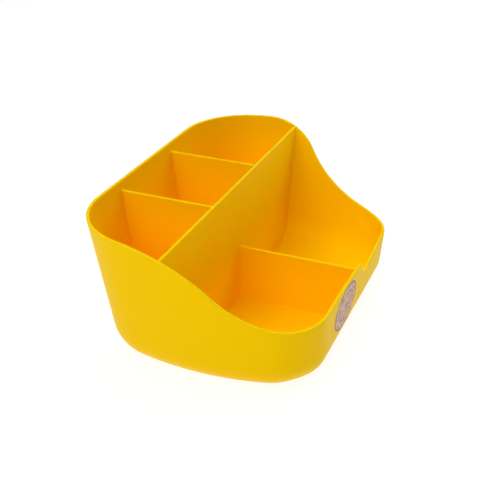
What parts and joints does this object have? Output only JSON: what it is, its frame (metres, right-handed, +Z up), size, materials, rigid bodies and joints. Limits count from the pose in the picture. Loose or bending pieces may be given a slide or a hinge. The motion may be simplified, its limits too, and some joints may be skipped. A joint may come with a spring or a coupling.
{
  "type": "desk organizer",
  "caption": "Open-topped yellow plastic desk caddy: high back, low front, upright partitions for pens and a shallow tray for notes, rounded base.",
  "frame": {"origin": "on the desk plane under the middle of the tall partition, half way across the width", "axes": "+X across the width to the right seen from the front, -Y towards the low front, +Z up"},
  "size_m": [0.2375, 0.1601, 0.1],
  "materials": {
    "yellow_plastic": "satin moulded yellow plastic",
    "label_paper": "satin printed film"
  },
  "bodies": {
    "root": {"shell": "yellow_plastic", "tall_partition": "yellow_plastic", "rear_partition_left": "yellow_plastic", "rear_partition_right": "yellow_plastic", "front_partition": "yellow_plastic", "front_label": "label_paper"}
  },
  "joints": []
}
